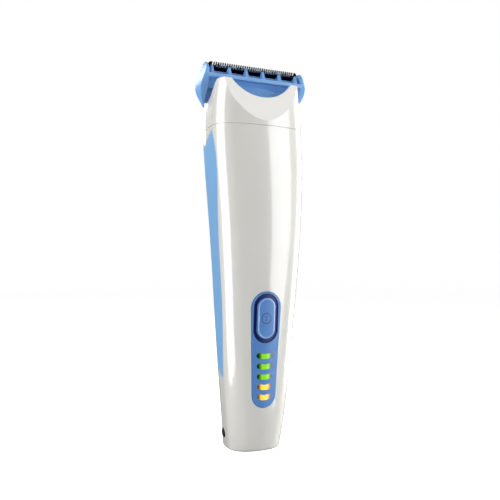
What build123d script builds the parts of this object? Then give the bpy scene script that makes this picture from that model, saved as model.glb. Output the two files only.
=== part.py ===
from build123d import *
import math
import os

# Cordless body groomer, standing on its base. Millimetres, +Z up, front towards -Y.
# The origin is the middle of the flat base.

# ---- Handle form -------------------------------------------------------------
# Each station of the handle has a height, a half width, a front and a rear reach,
# and the depth at which the section is widest.
base_half_width = 11.8
base_front = 11.9
base_rear = 11.9
base_centre = 0.0

grip_low_height = 40.0
grip_low_half_width = 15.7
grip_low_front = 16.6
grip_low_rear = 9.7
grip_low_centre = 2.0

grip_high_height = 80.0
grip_high_half_width = 18.3
grip_high_front = 19.8
grip_high_rear = 11.6
grip_high_centre = 3.0

shoulder_drop = 24.0            # below the collar seam
shoulder_half_width = 20.4
shoulder_front = 20.1
shoulder_rear = 16.2
shoulder_centre = 2.5

seam_height = 139.0             # joint between the housing and the collar
neck_half_width = 21.0
neck_front = 18.3
neck_rear = 19.4
neck_centre = 0.5

collar_height = 23.0            # height of the untrimmed collar form
rim_half_width = 18.9
rim_front = 18.6
rim_rear = 19.2
rim_centre = 0.5

front_bow = 3.4                 # how far the front face bows out
corner_radius = 8.4             # front corners of the handle

# ---- Walls and clearances ----------------------------------------------------
wall = 2.4
collar_wall = 2.0
grip_depth = 1.4
panel_depth = 1.2
window_depth = 3.0              # light windows and button seal reach this far in
fit_gap = 0.12                  # between parts that plug together
running_gap = 0.05              # radial, between a pin and its bore
line_width = 0.25               # parting line at the collar seam
line_depth = 0.35
reach = 60.0                    # longer than any wall, for cutting tools

# ---- Base cap ----------------------------------------------------------------
cap_height = 3.4
cap_edge_radius = 1.4
cap_spigot = 1.0
gasket_depth = 0.9
gasket_height = 0.6
cap_screw_radius = 1.0
cap_screw_head_radius = 1.9
cap_screw_head_height = 0.85
cap_screw_seat = 1.7            # underside of the screw heads above the base
cap_screw_spacing = 6.0
cap_screw_length = 6.0

# ---- Charging contacts -------------------------------------------------------
contact_height = 6.6
contact_radius = 1.6
contact_proud = 0.15
contact_length = 3.1
contact_seal_width = 0.8
contact_seal_radius = 2.1
strip_thickness = 0.3
strip_width = 3.0

# ---- Power pack --------------------------------------------------------------
battery_radius = 7.25
battery_length = 50.0
battery_centre = -0.4
tab_thickness = 0.3
tab_radius = 4.0
foot_height = 7.4               # underside of the chassis foot
plate_thickness = 1.5
foot_radius = 8.6
rail_inner = 8.0
rail_outer = 9.2
rail_depth = 6.0

# ---- Control panel -----------------------------------------------------------
panel_low = 19.0
panel_high = 68.2
panel_low_half_width = 5.4
panel_high_half_width = 6.8
panel_gap = 0.15
panel_proud = 0.12
button_centre = 56.9
button_length = 17.4
button_width = 8.1
button_proud = 0.45
button_thickness = 2.9
button_travel = 0.8
button_stem_radius = 1.5
seal_length = 21.0
seal_width = 11.4
seal_sunk = 0.55
seal_gap = 0.15
window_heights = (23.5, 27.85, 32.2, 36.6, 41.0)
window_low_half_width = 3.0
window_high_half_width = 3.95
window_height = 2.2
window_sag = 0.4
window_proud = 0.1
board_back = -8.3
board_thickness = 1.2
board_half_width = 6.5
board_low = 16.0
board_high = 72.0
chip_size = (3.2, 1.0, 1.6)
switch_size = 4.5
switch_height = 3.4
switch_nub_radius = 1.0
switch_nub_height = 0.4

# ---- Grip outline, seen from the side (depth, height below the seam) ---------
grip_front_edge = ((-9.0, 1.4), (-11.3, 8.0), (-11.5, 47.0), (-11.0, 70.0), (-8.6, 94.3), (-5.9, 109.7))
grip_top_edge = ((-9.0, 1.4), (-3.4, 4.6), (5.0, 10.2), (13.0, 19.0), (26.0, 40.0))
grip_low_edge = ((-5.9, 109.7), (-2.7, 105.3), (4.0, 97.0), (26.0, 76.0))
grip_tip_radius = 1.4

# ---- Drive -------------------------------------------------------------------
drive_depth = -1.0              # motor, lever and head pivot share this depth
motor_radius = 10.0
motor_half_flat = 7.7
motor_length = 30.0
motor_wall = 0.6
motor_top_wall = 1.0
motor_boss_radius = 3.0
motor_boss_height = 1.5
motor_below_seam = 22.0         # top of the motor can
end_cap_height = 2.5
shaft_radius = 1.0
armature_radius = 6.3
armature_length = 18.0
motor_screw_spacing = 6.0
motor_screw_radius = 1.0
motor_screw_head_radius = 1.8
motor_screw_head_height = 0.8
mount_thickness = 2.0
cam_radius = 4.0
cam_gap = 0.8
cam_height = 2.6
crank_offset = 1.2
crank_radius = 0.75
crank_length = 6.6
crank_clearance = 0.06
lever_swing_degrees = 5.5
lever_pivot_height = 1.0        # above the seam
lever_pin_radius = 1.0
lever_lower_arm = 15.0
lever_upper_arm = 12.0
lever_half_width = 1.5
lever_depth = 4.0
lever_prong = 1.4
lever_ball_radius = 1.5
lever_neck_radius = 1.1
clevis_half_width = 3.0
clevis_thickness = 2.0
clevis_gap = 0.6
clevis_top = 3.0                # above the lever pivot
deck_below_seam = 3.4           # top of the chassis deck
deck_thickness = 2.0
boot_height = 4.4
boot_radius = 5.0
boot_flare = 1.1                # boot mouth is this much wider than the lever

# ---- Head pivot --------------------------------------------------------------
pivot_height = 8.0              # above the seam
pivot_pin_radius = 1.25
pivot_boss_radius = 3.4
pivot_boss_inner = 17.7
pivot_pin_inner = 12.0
pivot_pin_outer = 19.4
arm_inner = 14.2
arm_outer = 17.4
arm_radius = 4.4
platform_low = 2.0              # above the pivot
platform_thickness = 2.0
platform_front = 6.0            # from the drive depth
platform_rear = 5.4
platform_window_half_width = 6.5
platform_window_half_depth = 4.4
post_spacing = 9.5
post_width = 5.0
post_depth = 4.0
post_height = 6.0
spring_wire_radius = 0.3
spring_pitch = 0.7
spring_length = 1.4

# ---- Collar rim --------------------------------------------------------------
scoop_radius = 17.0
scoop_depth = 12.75             # bottom of the scoop above the seam
horn_top = 20.2                 # above the seam
rim_edge = ((-7.2, 16.3), (-3.2, 12.6), (0.5, 10.3), (6.5, 8.6), (26.0, 6.9))
horn_back = -10.3
deck_opening_rear = 7.4
rim_deck_thickness = 2.2
facet_start = 2.2               # lowest point of the facet under the scoop, above the seam
facet_sunk = 0.15               # facet plane behind the front of the neck there
facet_tilt = 12.0               # degrees, leaning back
dimple_depth_place = -8.5
dimple_above_seam = 4.0
dimple_radius = 0.9
dimple_sunk = 0.35

# ---- Blade head --------------------------------------------------------------
tip_above_pivot = 21.0          # comb teeth tips
tip_depth = -6.2
blade_tilt = 45.0
comb_half_width = 21.5
comb_length = 11.0
comb_thickness = 0.6
tooth_length = 1.5
tooth_pitch = 1.05
tooth_width = 0.5
end_tooth_width = 1.7
end_tooth_radius = 1.36
cutter_gap = 0.06
cutter_thickness = 0.5
cutter_side_gap = 1.0            # from the cutter to the end teeth
cutter_set_back = 0.75
cutter_tooth_pitch = 1.3
cutter_tooth_width = 0.65
bed_gap = 0.14
bed_step = 7.0
bed_front = 3.5
bed_end = 12.2
ledge_front = -9.1
ledge_top = 15.2                # above the pivot
ledge_thickness = 1.8
tray_front = -8.1
fence_gap = 0.7                  # beside the comb
fence_below_tips = 0.4
ear_gap = 0.45                   # beside the collar
apron_radius = 12.6
apron_edge_radius = 10.5
apron_half_width = 16.0
apron_wall = 1.8
apron_front_angle = 80.0
apron_rear_angle = -12.0
rib_edge_gap = 1.3               # from the outer ribs to the sides of the comb
rib_low_width = 2.3
rib_high_width = 0.9
rib_top = 19.2                  # above the pivot
driver_half_width = 3.2
driver_slot_gap = 0.35
fork_gap = 0.1
rivet_place = 15.5
rivet_radius = 1.1
rivet_proud = 0.15
rivet_length = 3.0
finger_inner = 7.0
finger_outer = 15.0
finger_thickness = 0.3
finger_front = 5.0              # along the blade
finger_back = 6.4
finger_floor = 1.9              # below the blade face
rivet_along = 9.0
end_tooth_length = 3.0
cutter_tooth_length = 1.0
cutter_back = 6.5
driver_along_low = 5.0
driver_along_high = 6.4
driver_front_depth = -3.5
driver_back_depth = -2.45
driver_step = 10.4                # above the pivot
fork_half_depth = 2.0
carrier_rear = 3.0
carrier_bottom = 9.6              # above the pivot
carrier_back_drop = 9.6           # back corner of the carrier below the comb tips
carrier_front_offset = 4.0        # front of the carrier's underside behind the ledge front
ledge_back_offset = 1.7           # back of the ledge's underside behind its front
tray_bow = (0.4, -0.45)           # how far the tray bows back and down
root_overlap = 1.0                # how far joined pieces of the carrier run into each other
rib_top_front = -7.0
post_wall = 1.4
skirt_rear = 6.5
skirt_wall = 1.4
skirt_bend = 4.4
skirt_low = 1.6
skirt_half_width = 16.4
cheek_inner = 16.6
cheek_front = -7.9
cheek_middle_depth = -3.3
cheek_middle = 9.6
cheek_low_depth = -0.6
cheek_low = 4.6
# Outer edge of an ear: distance outside the comb's side, height above the pivot.
ear_outer_edge = ((0.4, 2.0), (1.4, 4.8), (3.0, 8.5), (3.4, 11.5), (2.5, 15.2), (1.8, 20.6))
ear_front_edge = ((-0.3, 2.0), (-4.0, 8.0), (-8.0, 12.4), (-9.1, 14.4))
fence_edge = ((-9.1, 15.2), (-8.4, 18.6), (-6.4, 20.4), (-3.4, 20.2), (-1.4, 18.9))
ear_rear_edge = ((0.3, 2.0), (1.8, 6.0), (2.3, 11.0), (1.6, 16.0), (-1.4, 18.9))

# ---- Values worked out from the sizes above ----------------------------------
standing = (Align.CENTER, Align.CENTER, Align.MIN)
hanging = (Align.CENTER, Align.CENTER, Align.MAX)
swing = math.radians(lever_swing_degrees)
cutter_travel = lever_upper_arm * math.sin(swing)
tooth_count = int(2 * (comb_half_width - end_tooth_width) / tooth_pitch)
cutter_half_width = comb_half_width - end_tooth_width - cutter_side_gap
cutter_tooth_count = int(2 * cutter_half_width / cutter_tooth_pitch)
fence_inner = comb_half_width + fence_gap
ear_inner = neck_half_width + ear_gap
rib_spacing = (comb_half_width - rib_edge_gap) / 2.5
rib_places = (rib_spacing / 2, 1.5 * rib_spacing, 2.5 * rib_spacing)
pivot_z = seam_height + pivot_height
lever_pivot_z = seam_height + lever_pivot_height
tip_z = pivot_z + tip_above_pivot
motor_top = seam_height - motor_below_seam
motor_low = motor_top - motor_length
deck_top = seam_height - deck_below_seam
deck_low = deck_top - deck_thickness
battery_low = foot_height + plate_thickness + tab_thickness
battery_high = battery_low + battery_length
pack_plate_low = battery_high + tab_thickness
motor_floor = motor_low - end_cap_height
board_front = board_back - board_thickness
crank_low = motor_top + motor_boss_height + cam_gap
carrier_low = pivot_z + carrier_bottom
driver_shoulder = pivot_z + driver_step
crank_high = crank_low + cam_height + crank_length

stations = (
    (0.0, base_half_width, base_front, base_rear, base_centre),
    (grip_low_height, grip_low_half_width, grip_low_front, grip_low_rear, grip_low_centre),
    (grip_high_height, grip_high_half_width, grip_high_front, grip_high_rear, grip_high_centre),
    (seam_height - shoulder_drop, shoulder_half_width, shoulder_front, shoulder_rear, shoulder_centre),
    (seam_height, neck_half_width, neck_front, neck_rear, neck_centre),
    (seam_height + collar_height, rim_half_width, rim_front, rim_rear, rim_centre),
)


# ---- Shared shapes -----------------------------------------------------------
def body_section(height, half_width, front, rear, centre, inset):
    """Section of the handle: elliptical back, straight sides, gently bowed front."""
    side = half_width - inset
    nose = inset - front
    shoulder = nose + front_bow
    with BuildSketch(Plane.XY.offset(height)) as section:
        with BuildLine():
            EllipticalCenterArc((0, -centre), side, rear - inset + centre, arc_size=180)
            Line((-side, -centre), (-side, shoulder))
            ThreePointArc((-side, shoulder), (0, nose), (side, shoulder))
            Line((side, shoulder), (side, -centre))
        make_face()
        fillet(section.vertices().group_by(Axis.Y)[0], corner_radius - inset)
    return section.sketch


def body_form(inset):
    """The whole handle form, made smaller by inset all round."""
    with BuildPart() as form:
        loft(sections=[body_section(*station, inset) for station in stations])
    return form.part


def band(form, low, high):
    """The part of a form between two heights."""
    with BuildPart() as slab:
        add(form)
        with Locations((0, 0, (low + high) / 2)):
            Box(2 * reach, 2 * reach, high - low, mode=Mode.INTERSECT)
    return slab.part


def block(x_low, x_high, y_low, y_high, z_low, z_high):
    """A rectangular block between two corners."""
    centre = ((x_low + x_high) / 2, (y_low + y_high) / 2, (z_low + z_high) / 2)
    with BuildPart() as piece:
        with Locations(centre):
            Box(x_high - x_low, y_high - y_low, z_high - z_low)
    return piece.part


def front_prism(outline):
    """Extrudes a sketch on the XZ plane towards the front."""
    with BuildPart() as prism:
        extrude(outline, amount=reach)
    return prism.part


def panel_outline(gap):
    """Tapered, round-ended outline of the control panel."""
    low_radius = panel_low_half_width + gap
    high_radius = panel_high_half_width + gap
    with BuildSketch(Plane.XZ) as outline:
        with Locations((0, panel_low + panel_low_half_width)):
            Circle(low_radius)
        with Locations((0, panel_high - panel_high_half_width)):
            Circle(high_radius)
        make_hull()
    return outline.sketch


def button_outline(length, width):
    """Upright slot centred on the power button."""
    with BuildSketch(Plane.XZ) as outline:
        with Locations((0, button_centre)):
            SlotOverall(length, width, rotation=90)
    return outline.sketch


def window_outline(height):
    """Smile-shaped slot of one light window; the windows get narrower downwards."""
    share = (height - window_heights[0]) / (window_heights[-1] - window_heights[0])
    half_width = window_low_half_width + share * (window_high_half_width - window_low_half_width)
    end = half_width - window_height / 2
    high = height + window_sag / 2
    with BuildLine(mode=Mode.PRIVATE) as middle:
        ThreePointArc((-end, high), (0, high - window_sag), (end, high))
    with BuildSketch(Plane.XZ) as outline:
        SlotArc(middle.line.edge(), window_height)
    return outline.sketch


def grip_prism():
    """Side outline of the grip, through the whole width."""
    with BuildSketch(Plane.YZ) as outline:
        with BuildLine():
            front = Spline(*[(y, seam_height - drop) for y, drop in grip_front_edge])
            top = Spline(*[(y, seam_height - drop) for y, drop in grip_top_edge])
            low = Spline(*[(y, seam_height - drop) for y, drop in grip_low_edge])
            Line(top @ 1, low @ 1)
        make_face()
        tips = [v for v in outline.vertices() if v.X < 0]
        fillet(tips, grip_tip_radius)
    with BuildPart() as prism:
        extrude(outline.sketch, amount=reach, both=True)
    return prism.part


def side_tube(radius, x_low, x_high, depth, height, bore=0.0):
    """Cylinder along X, with an optional bore."""
    with BuildPart() as tube:
        with BuildSketch(Plane.YZ.offset(x_low)):
            with Locations((depth, height)):
                Circle(radius)
                if bore:
                    Circle(bore, mode=Mode.SUBTRACT)
        extrude(amount=x_high - x_low)
    return tube.part


def blade_point(along, below):
    """Depth and height of a point given along the blade from its tips and below its face."""
    tilt = math.radians(blade_tilt)
    depth = tip_depth + along * math.sin(tilt) - below * math.cos(tilt)
    height = tip_z - along * math.cos(tilt) - below * math.sin(tilt)
    return (depth, height)


def blade_plane(below):
    """Plane of the blade at a depth below its outer face; local Y runs from tips to root."""
    tilt = math.radians(blade_tilt)
    depth, height = blade_point(0, below)
    return Plane(origin=(0, depth, height), x_dir=(1, 0, 0), z_dir=(0, math.cos(tilt), math.sin(tilt)))


def side_profile(points, half_width):
    """Polygon on the YZ plane, extruded to both sides."""
    with BuildPart() as profile:
        with BuildSketch(Plane.YZ):
            with BuildLine():
                Polyline(*points, close=True)
            make_face()
        extrude(amount=half_width, both=True)
    return profile.part


outer_form = body_form(0)
cavity_form = body_form(wall)
grip_floor_form = body_form(grip_depth)
panel_floor_form = body_form(panel_depth)
window_floor_form = body_form(window_depth)
collar_cavity_form = body_form(collar_wall)
gasket_form = body_form(wall + gasket_depth)
spigot_form = body_form(wall + fit_gap)
spigot_inner_form = body_form(wall + 2 * gasket_depth)
line_form = body_form(line_depth)
panel_form = body_form(-panel_proud)
button_form = body_form(-button_proud)
button_back_form = body_form(button_thickness - button_proud)
seal_form = body_form(seal_sunk)
grip_cutter = grip_prism()

# ---- Rear grip ---------------------------------------------------------------
with BuildPart() as rear_grip:
    add(band(outer_form, cap_height, seam_height))
    add(grip_floor_form, mode=Mode.SUBTRACT)
    add(grip_cutter, mode=Mode.INTERSECT)
rear_grip.part.label = "rear_grip"

# ---- Control panel -----------------------------------------------------------
with BuildPart() as control_panel:
    add(front_prism(panel_outline(0)))
    add(panel_form, mode=Mode.INTERSECT)
    add(panel_floor_form, mode=Mode.SUBTRACT)
    add(front_prism(button_outline(seal_length, seal_width)), mode=Mode.SUBTRACT)
    for place in window_heights:
        add(front_prism(window_outline(place)), mode=Mode.SUBTRACT)
control_panel.part.label = "control_panel"

with BuildPart() as button_seal:
    add(front_prism(button_outline(seal_length, seal_width)))
    add(seal_form, mode=Mode.INTERSECT)
    add(window_floor_form, mode=Mode.SUBTRACT)
    bore = button_outline(button_length + 2 * seal_gap, button_width + 2 * seal_gap)
    add(front_prism(bore), mode=Mode.SUBTRACT)
button_seal.part.label = "button_seal"

switch_top = board_front - switch_height - switch_nub_height
stem_end = switch_top - button_travel - 2 * running_gap
with BuildPart() as power_button:
    add(front_prism(button_outline(button_length, button_width)))
    add(button_form, mode=Mode.INTERSECT)
    add(button_back_form, mode=Mode.SUBTRACT)
    with BuildSketch(Plane.XZ.offset(-stem_end)):
        with Locations((0, button_centre)):
            Circle(button_stem_radius)
    extrude(amount=button_thickness)
power_button.part.label = "power_button"

led_lenses = []
for number, place in enumerate(window_heights, start=1):
    with BuildPart() as led_lens:
        add(front_prism(window_outline(place)))
        add(body_form(-window_proud - panel_proud), mode=Mode.INTERSECT)
        add(window_floor_form, mode=Mode.SUBTRACT)
    led_lens.part.label = f"led_lens_{number}"
    led_lenses.append(led_lens.part)

# ---- Main housing ------------------------------------------------------------
with BuildPart() as panel_recess:
    add(front_prism(panel_outline(panel_gap)))
    add(panel_floor_form, mode=Mode.SUBTRACT)

with BuildPart() as main_housing:
    add(band(outer_form, cap_height, seam_height))
    add(cavity_form, mode=Mode.SUBTRACT)
    add(rear_grip.part, mode=Mode.SUBTRACT)
    add(panel_recess.part, mode=Mode.SUBTRACT)
    add(front_prism(button_outline(seal_length, seal_width)), mode=Mode.SUBTRACT)
    for place in window_heights:
        add(front_prism(window_outline(place)), mode=Mode.SUBTRACT)
    add(side_tube(contact_radius, -reach, reach, 0, contact_height), mode=Mode.SUBTRACT)
main_housing.part.label = "main_housing"

# ---- Base cap ----------------------------------------------------------------
gasket_low = cap_height + (cap_spigot - gasket_height) / 2
gasket_high = gasket_low + gasket_height
cap_screw_places = ((0, cap_screw_spacing), (0, -cap_screw_spacing))
with BuildPart() as bottom_cap:
    add(band(outer_form, 0, cap_height))
    fillet(bottom_cap.faces().sort_by(Axis.Z)[0].edges(), cap_edge_radius)
    add(band(gasket_form, cap_height, cap_height + cap_spigot))
    add(band(spigot_form, cap_height, gasket_low))
    add(band(spigot_form, gasket_high, cap_height + cap_spigot))
    add(band(spigot_inner_form, cap_height, cap_height + cap_spigot), mode=Mode.SUBTRACT)
    with Locations(*[(x, y, cap_height) for x, y in cap_screw_places]):
        Cylinder(cap_screw_head_radius, foot_height - cap_height, align=standing)
    with Locations(*[(x, y, 0) for x, y in cap_screw_places]):
        Cylinder(cap_screw_head_radius, 2 * cap_screw_seat, mode=Mode.SUBTRACT)
        Cylinder(cap_screw_radius, 2 * foot_height, mode=Mode.SUBTRACT)
bottom_cap.part.label = "bottom_cap"

with BuildPart() as bottom_cap_gasket:
    add(band(cavity_form, gasket_low, gasket_high))
    add(band(gasket_form, gasket_low, gasket_high), mode=Mode.SUBTRACT)
bottom_cap_gasket.part.label = "bottom_cap_gasket"

cap_screws = []
for name, side in (("cap_screw_front", -1), ("cap_screw_rear", 1)):
    with BuildPart() as cap_screw:
        with Locations((0, side * cap_screw_spacing, cap_screw_seat)):
            Cylinder(cap_screw_head_radius, cap_screw_head_height, align=hanging)
            Cylinder(cap_screw_radius, cap_screw_length, align=standing)
    cap_screw.part.label = name
    cap_screws.append(cap_screw.part)

# ---- Charging contacts -------------------------------------------------------
contact_band = band(outer_form, contact_height - line_width, contact_height + line_width)
contact_outer = contact_band.bounding_box().max.X + contact_proud
contact_inner = contact_outer - contact_length
contact_parts = []
for name, side in (("left", -1), ("right", 1)):
    stud_ends = sorted((side * contact_inner, side * contact_outer))
    seal_ends = sorted((side * contact_inner, side * (contact_inner + contact_seal_width)))
    with BuildPart() as contact:
        add(side_tube(contact_radius, stud_ends[0], stud_ends[1], 0, contact_height))
    contact.part.label = f"charging_contact_{name}"
    with BuildPart() as contact_seal:
        add(side_tube(contact_seal_radius, seal_ends[0], seal_ends[1], 0, contact_height, contact_radius))
        add(cavity_form, mode=Mode.INTERSECT)
    contact_seal.part.label = f"contact_seal_{name}"
    with BuildPart() as charge_strip:
        low, high = sorted((side * tab_radius, side * contact_inner))
        half = strip_width / 2
        middle = contact_height
        add(block(low, high, -half, half, middle - strip_thickness / 2, middle + strip_thickness / 2))
    charge_strip.part.label = f"charge_strip_{name}"
    contact_parts += [contact.part, contact_seal.part, charge_strip.part]

# ---- Chassis -----------------------------------------------------------------
prong_inner = crank_offset + crank_radius + lever_lower_arm * math.sin(swing) + crank_clearance
slot_half_width = prong_inner + lever_prong + clevis_gap
slot_half_depth = lever_depth / 2 + clevis_gap
with BuildPart() as chassis_frame:
    with Locations((0, 0, foot_height)):
        Cylinder(foot_radius, plate_thickness, align=standing)
    half = rail_depth / 2
    for side in (-1, 1):
        low, high = sorted((side * rail_inner, side * rail_outer))
        add(block(low, high, -half, half, foot_height, deck_top))
    back = battery_centre + battery_radius
    add(block(-rail_outer, rail_outer, board_back, back - plate_thickness,
              pack_plate_low, pack_plate_low + plate_thickness))
    add(block(-rail_outer, rail_outer, drive_depth - motor_radius, drive_depth + motor_radius - wall,
              motor_floor - plate_thickness, motor_floor))
    add(band(cavity_form, deck_low, deck_top))
    add(block(-slot_half_width, slot_half_width, drive_depth - slot_half_depth, drive_depth + slot_half_depth,
              deck_low, deck_top), mode=Mode.SUBTRACT)
    for side in (-1, 1):
        low, high = sorted((side * slot_half_depth, side * (slot_half_depth + clevis_thickness)))
        add(block(-clevis_half_width, clevis_half_width, drive_depth + low, drive_depth + high,
                  deck_top, lever_pivot_z + clevis_top))
    with Locations((0, drive_depth, lever_pivot_z)):
        Cylinder(lever_pin_radius, reach, rotation=(90, 0, 0), mode=Mode.SUBTRACT)
    with Locations(*[(x, y, 0) for x, y in cap_screw_places]):
        Cylinder(cap_screw_radius, 2 * battery_low, mode=Mode.SUBTRACT)
chassis_frame.part.label = "chassis_frame"

# ---- Power pack and board ----------------------------------------------------
with BuildPart() as battery_cell:
    with Locations((0, battery_centre, battery_low)):
        Cylinder(battery_radius, battery_length, align=standing)
    fillet(battery_cell.edges().filter_by(GeomType.CIRCLE), tab_thickness)
battery_cell.part.label = "battery_cell"

battery_tabs = []
for name, low in (("battery_tab_bottom", battery_low - tab_thickness), ("battery_tab_top", battery_high)):
    with BuildPart() as battery_tab:
        with Locations((0, battery_centre, low)):
            Cylinder(tab_radius, tab_thickness, align=standing)
    battery_tab.part.label = name
    battery_tabs.append(battery_tab.part)

with BuildPart() as circuit_board:
    add(block(-board_half_width, board_half_width, board_front, board_back, board_low, board_high))
    fillet(circuit_board.edges().filter_by(Axis.Y), board_thickness)
circuit_board.part.label = "circuit_board"

with BuildPart() as tact_switch:
    half = switch_size / 2
    add(block(-half, half, board_front - switch_height, board_front,
              button_centre - half, button_centre + half))
    with BuildSketch(Plane.XZ.offset(-board_front + switch_height)):
        with Locations((0, button_centre)):
            Circle(switch_nub_radius)
    extrude(amount=switch_nub_height)
tact_switch.part.label = "tact_switch"

led_chips = []
for number, place in enumerate(window_heights, start=1):
    width, depth, height = chip_size
    with BuildPart() as led_chip:
        add(block(-width / 2, width / 2, board_front - depth, board_front,
                  place - height / 2, place + height / 2))
    led_chip.part.label = f"led_chip_{number}"
    led_chips.append(led_chip.part)

# ---- Motor -------------------------------------------------------------------
def motor_section(height, inset):
    """Round motor section with two flat sides."""
    with BuildSketch(Plane.XY.offset(height)) as section:
        with Locations((0, drive_depth)):
            Circle(motor_radius - inset)
            Rectangle(2 * (motor_half_flat - inset), 2 * motor_radius, mode=Mode.INTERSECT)
    return section.sketch


screw_places = ((motor_screw_spacing, drive_depth), (-motor_screw_spacing, drive_depth))
with BuildPart() as motor_can:
    extrude(motor_section(motor_low, 0), amount=motor_length)
    extrude(motor_section(motor_low, motor_wall), amount=motor_length - motor_top_wall, mode=Mode.SUBTRACT)
    with Locations((0, drive_depth, motor_top)):
        Cylinder(motor_boss_radius, motor_boss_height, align=standing)
    with Locations((0, drive_depth, motor_top)):
        Cylinder(shaft_radius + running_gap, 4 * motor_boss_height, mode=Mode.SUBTRACT)
    with Locations(*[(x, y, motor_top) for x, y in screw_places]):
        Cylinder(motor_screw_radius, 4 * motor_top_wall, mode=Mode.SUBTRACT)
motor_can.part.label = "motor_can"

with BuildPart() as motor_end_cap:
    extrude(motor_section(motor_floor, 0), amount=end_cap_height)
    with Locations((0, drive_depth, motor_low)):
        Cylinder(shaft_radius + running_gap, end_cap_height, mode=Mode.SUBTRACT)
motor_end_cap.part.label = "motor_end_cap"

armature_low = motor_low + (motor_length - armature_length) / 2
with BuildPart() as motor_armature:
    with Locations((0, drive_depth, armature_low)):
        Cylinder(armature_radius, armature_length, align=standing)
        Cylinder(shaft_radius, armature_length, align=standing, mode=Mode.SUBTRACT)
motor_armature.part.label = "motor_armature"

shaft_low = motor_low - end_cap_height / 2 + 2 * running_gap
with BuildPart() as motor_shaft:
    with Locations((0, drive_depth, shaft_low)):
        Cylinder(shaft_radius, crank_low + cam_height / 2 - shaft_low, align=standing)
motor_shaft.part.label = "motor_shaft"

with BuildPart() as eccentric_cam:
    with Locations((0, drive_depth, crank_low)):
        Cylinder(cam_radius, cam_height, align=standing)
        Cylinder(shaft_radius, cam_height / 2, align=standing, mode=Mode.SUBTRACT)
    with Locations((crank_offset, drive_depth, crank_low + cam_height)):
        Cylinder(crank_radius, crank_length, align=standing)
eccentric_cam.part.label = "eccentric_cam"

with BuildPart() as motor_mount:
    half_depth = motor_radius - wall
    add(block(-rail_inner, rail_inner, drive_depth - half_depth, drive_depth + half_depth, motor_top,
              motor_top + mount_thickness))
    with Locations((0, drive_depth, motor_top)):
        Cylinder(motor_boss_radius, 4 * mount_thickness, mode=Mode.SUBTRACT)
    with Locations((0, drive_depth, motor_top + motor_boss_height)):
        Cylinder(cam_radius + cam_gap, mount_thickness, align=standing, mode=Mode.SUBTRACT)
    with Locations(*[(x, y, motor_top) for x, y in screw_places]):
        Cylinder(motor_screw_radius, 4 * mount_thickness, mode=Mode.SUBTRACT)
motor_mount.part.label = "motor_mount"

motor_screws = []
for name, (x, y) in zip(("motor_screw_right", "motor_screw_left"), screw_places):
    with BuildPart() as motor_screw:
        with Locations((x, y, motor_top + mount_thickness)):
            Cylinder(motor_screw_head_radius, motor_screw_head_height, align=standing)
            Cylinder(motor_screw_radius, mount_thickness + motor_top_wall, align=hanging)
    motor_screw.part.label = name
    motor_screws.append(motor_screw.part)

# ---- Drive lever -------------------------------------------------------------
prong_low = lever_pivot_z - lever_lower_arm
with BuildPart() as drive_lever:
    y_low = drive_depth - lever_depth / 2
    y_high = drive_depth + lever_depth / 2
    bridge_low = crank_high + crank_radius
    prong_outer = prong_inner + lever_prong
    add(block(-prong_outer, prong_outer, y_low, y_high, prong_low, bridge_low + lever_prong))
    add(block(-prong_inner, prong_inner, y_low, y_high, prong_low, bridge_low), mode=Mode.SUBTRACT)
    add(block(-lever_half_width, lever_half_width, y_low, y_high, bridge_low, lever_pivot_z))
    with Locations((0, drive_depth, lever_pivot_z)):
        Cylinder(lever_half_width + lever_pin_radius, lever_depth, rotation=(90, 0, 0))
        Cylinder(lever_neck_radius, lever_upper_arm, align=standing)
    with Locations((0, drive_depth, lever_pivot_z + lever_upper_arm)):
        Sphere(lever_ball_radius)
    with Locations((0, drive_depth, lever_pivot_z)):
        Cylinder(lever_pin_radius + running_gap, reach, rotation=(90, 0, 0), mode=Mode.SUBTRACT)
drive_lever.part.label = "drive_lever"

with BuildPart() as lever_pivot_pin:
    with Locations((0, drive_depth, lever_pivot_z)):
        Cylinder(lever_pin_radius, 2 * (slot_half_depth + clevis_thickness), rotation=(90, 0, 0))
lever_pivot_pin.part.label = "lever_pivot_pin"

boot_low = lever_pivot_z + clevis_top
boot_mouth = lever_half_width + boot_flare
with BuildPart() as drive_boot:
    with BuildSketch(Plane.XZ.offset(-drive_depth)):
        with BuildLine():
            Polyline(
                (boot_radius - plate_thickness, boot_low), (boot_radius + plate_thickness, boot_low),
                (boot_radius + plate_thickness, boot_low + line_depth), (boot_radius, boot_low + line_depth),
                (boot_mouth + line_depth, boot_low + boot_height), (boot_mouth, boot_low + boot_height),
                close=True,
            )
        make_face()
    revolve(axis=Axis((0, drive_depth, 0), (0, 0, 1)))
drive_boot.part.label = "drive_boot"

# ---- Neck collar -------------------------------------------------------------
def rim_prism(lift):
    """Everything above the side line of the collar rim, which lift moves down."""
    with BuildSketch(Plane.YZ) as outline:
        with BuildLine():
            top = seam_height + horn_top
            edge = Spline((horn_back, top - lift), *[(y, seam_height + z - lift) for y, z in rim_edge])
            front = Polyline(edge @ 0, (-reach, top - lift), (-reach, top + reach), (reach, top + reach))
            Polyline(front @ 1, (reach, (edge @ 1).Y), edge @ 1)
        make_face()
    with BuildPart() as prism:
        extrude(outline.sketch, amount=reach, both=True)
    return prism.part


def scoop_facet(setback):
    """Everything in front of the flat that leans back under the scoop, moved back by setback."""
    low = (setback + facet_sunk - neck_front, seam_height + facet_start)
    lean = reach * math.tan(math.radians(facet_tilt))
    return side_profile((low, (low[0] + lean, low[1] + reach), (low[0] - lean, low[1] + reach)), reach)


collar_spigot = deck_below_seam - line_width
collar_gasket_low = seam_height - (collar_spigot + gasket_height) / 2
collar_gasket_high = collar_gasket_low + gasket_height
collar_top = seam_height + collar_height

with BuildPart() as collar_hollow:
    add(band(collar_cavity_form, seam_height + rim_deck_thickness, collar_top))
    add(scoop_facet(collar_wall), mode=Mode.SUBTRACT)

with BuildPart() as parting_line:
    add(band(outer_form, seam_height, seam_height + line_width))
    add(line_form, mode=Mode.SUBTRACT)

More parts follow.
